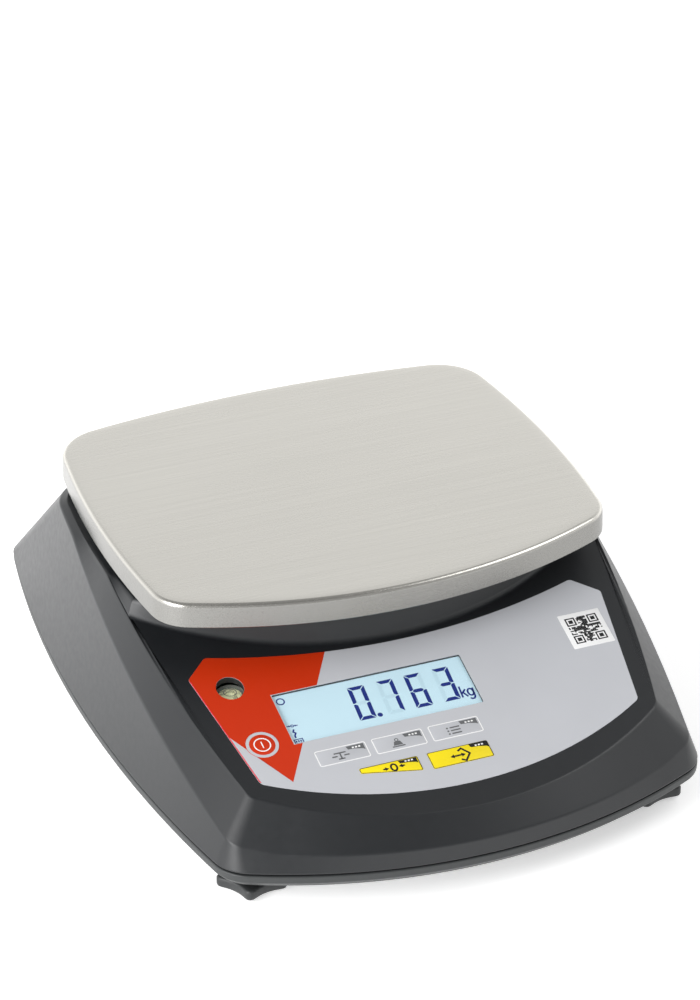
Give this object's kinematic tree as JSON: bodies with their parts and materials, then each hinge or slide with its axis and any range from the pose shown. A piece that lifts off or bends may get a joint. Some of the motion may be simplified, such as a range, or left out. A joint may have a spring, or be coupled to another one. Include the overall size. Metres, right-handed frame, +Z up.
{
  "type": "digital gram scale",
  "caption": "Bench scale with a lift-off stainless pan, a sloping keypad panel with a backlit display, a bubble level and screw-adjustable levelling feet.",
  "frame": {"origin": "on the floor plane, under the middle of the housing", "axes": "+X to the user's right, -Y towards the user and the keypad, +Z up out of the pan"},
  "size_m": [0.2908, 0.378, 0.1165],
  "materials": {
    "stainless": "fine brushed, satin",
    "rubber": "matt",
    "cast_aluminium": "as cast",
    "machined_aluminium": "machined satin",
    "black_steel": "black oxide",
    "zinc_steel": "bright zinc",
    "housing_plastic": "fine moulded texture, satin",
    "tray_plastic": "fine moulded texture, satin",
    "panel_film": "printed polyester, fine matt",
    "clear_window": "clear",
    "lcd": "backlit",
    "light_guide": "diffuse",
    "circuit_board": "solder mask",
    "black_plastic": "matt",
    "power_key_film": "printed polyester",
    "grey_key_film": "printed polyester",
    "yellow_key_film": "printed polyester",
    "level_acrylic": "clear acrylic",
    "level_fluid": "tinted liquid",
    "white_label": "printed label",
    "ribbon": "flat cable",
    "black_lead": "cable sheath",
    "red_lead": "cable sheath",
    "battery_case": "moulded case",
    "brass": "turned",
    "knob_plastic": "moulded, satin"
  },
  "bodies": {
    "housing": {"load_cell": "machined_aluminium", "cell_pedestal": "machined_aluminium", "cell_base_screws": "black_steel", "overload_stop": "zinc_steel", "base_plate": "zinc_steel", "base_plate_screws": "zinc_steel", "top_cover": "housing_plastic", "bottom_tray": "tray_plastic", "housing_screws": "black_steel", "panel_overlay": "panel_film", "display_window": "clear_window", "lcd_frame": "black_plastic", "lcd_glass": "lcd", "lcd_backlight": "light_guide", "display_board": "circuit_board", "display_board_screws": "zinc_steel", "key_switches": "black_plastic", "level_vial": "level_acrylic", "level_liquid": "level_fluid", "level_cup": "black_plastic", "code_label": "white_label", "main_board": "circuit_board", "main_board_parts": "black_plastic", "main_board_screws": "zinc_steel", "ribbon_cable": "ribbon", "load_cell_lead": "black_lead", "battery": "battery_case", "battery_strap": "zinc_steel", "battery_lead": "red_lead", "battery_door": "tray_plastic", "battery_door_screw": "black_steel", "dc_inlet": "black_plastic", "foot_inserts": "brass"},
    "platform": {"platform": "cast_aluminium", "platform_screws": "black_steel", "cell_spacer": "machined_aluminium", "pan_cushions": "rubber"},
    "pan": {"pan": "stainless"},
    "power_key": {"power_key": "power_key_film"},
    "unit_key": {"unit_key": "grey_key_film"},
    "gross_key": {"gross_key": "grey_key_film"},
    "memory_key": {"memory_key": "grey_key_film"},
    "zero_key": {"zero_key": "yellow_key_film"},
    "tare_key": {"tare_key": "yellow_key_film"},
    "front_left_pad": {"front_left_pad": "rubber"},
    "front_left_knob": {"front_left_knob": "knob_plastic", "front_left_stud": "zinc_steel"},
    "front_right_pad": {"front_right_pad": "rubber"},
    "front_right_knob": {"front_right_knob": "knob_plastic", "front_right_stud": "zinc_steel"},
    "rear_left_pad": {"rear_left_pad": "rubber"},
    "rear_left_knob": {"rear_left_knob": "knob_plastic", "rear_left_stud": "zinc_steel"},
    "rear_right_pad": {"rear_right_pad": "rubber"},
    "rear_right_knob": {"rear_right_knob": "knob_plastic", "rear_right_stud": "zinc_steel"}
  },
  "joints": [
    {"name": "platform_deflection", "type": "slide", "parent": "housing", "child": "platform", "axis": [0, 0, -1], "range_m": [0, 0.0005], "stiffness_N_per_m": 200000, "springref_m": -0.00005, "deforming": ["load_cell"]},
    {"name": "pan_lift", "type": "slide", "parent": "platform", "child": "pan", "axis": [0, 0, 1], "range_m": [0, 0.04]},
    {"name": "power_key_press", "type": "slide", "parent": "housing", "child": "power_key", "axis": [0, 0.2847, -0.9586], "range_m": [0, 0.0004], "stiffness_N_per_m": 2500},
    {"name": "unit_key_press", "type": "slide", "parent": "housing", "child": "unit_key", "axis": [0, 0.2847, -0.9586], "range_m": [0, 0.0004], "stiffness_N_per_m": 2500},
    {"name": "gross_key_press", "type": "slide", "parent": "housing", "child": "gross_key", "axis": [0, 0.2847, -0.9586], "range_m": [0, 0.0004], "stiffness_N_per_m": 2500},
    {"name": "memory_key_press", "type": "slide", "parent": "housing", "child": "memory_key", "axis": [0, 0.2847, -0.9586], "range_m": [0, 0.0004], "stiffness_N_per_m": 2500},
    {"name": "zero_key_press", "type": "slide", "parent": "housing", "child": "zero_key", "axis": [0, 0.2847, -0.9586], "range_m": [0, 0.0004], "stiffness_N_per_m": 2500},
    {"name": "tare_key_press", "type": "slide", "parent": "housing", "child": "tare_key", "axis": [0, 0.2847, -0.9586], "range_m": [0, 0.0004], "stiffness_N_per_m": 2500},
    {"name": "front_left_level", "type": "slide", "parent": "housing", "child": "front_left_pad", "axis": [0, 0, -1], "range_m": [0, 0.008]},
    {"name": "front_left_turn", "type": "hinge", "parent": "front_left_pad", "child": "front_left_knob", "pos_m": [-0.1076, -0.1379, 0.006], "axis": [0, 0, -1], "range_deg": [0, 2300]},
    {"name": "front_right_level", "type": "slide", "parent": "housing", "child": "front_right_pad", "axis": [0, 0, -1], "range_m": [0, 0.008]},
    {"name": "front_right_turn", "type": "hinge", "parent": "front_right_pad", "child": "front_right_knob", "pos_m": [0.1076, -0.1379, 0.006], "axis": [0, 0, -1], "range_deg": [0, 2300]},
    {"name": "rear_left_level", "type": "slide", "parent": "housing", "child": "rear_left_pad", "axis": [0, 0, -1], "range_m": [0, 0.008]},
    {"name": "rear_left_turn", "type": "hinge", "parent": "rear_left_pad", "child": "rear_left_knob", "pos_m": [-0.1076, 0.141, 0.006], "axis": [0, 0, -1], "range_deg": [0, 2300]},
    {"name": "rear_right_level", "type": "slide", "parent": "housing", "child": "rear_right_pad", "axis": [0, 0, -1], "range_m": [0, 0.008]},
    {"name": "rear_right_turn", "type": "hinge", "parent": "rear_right_pad", "child": "rear_right_knob", "pos_m": [0.1076, 0.141, 0.006], "axis": [0, 0, -1], "range_deg": [0, 2300]}
  ],
  "couplings": [
    {"joint": "front_left_level", "follows": "front_left_turn", "m_per_rad": 0.00019894},
    {"joint": "front_right_level", "follows": "front_right_turn", "m_per_rad": 0.00019894},
    {"joint": "rear_left_level", "follows": "rear_left_turn", "m_per_rad": 0.00019894},
    {"joint": "rear_right_level", "follows": "rear_right_turn", "m_per_rad": 0.00019894}
  ]
}
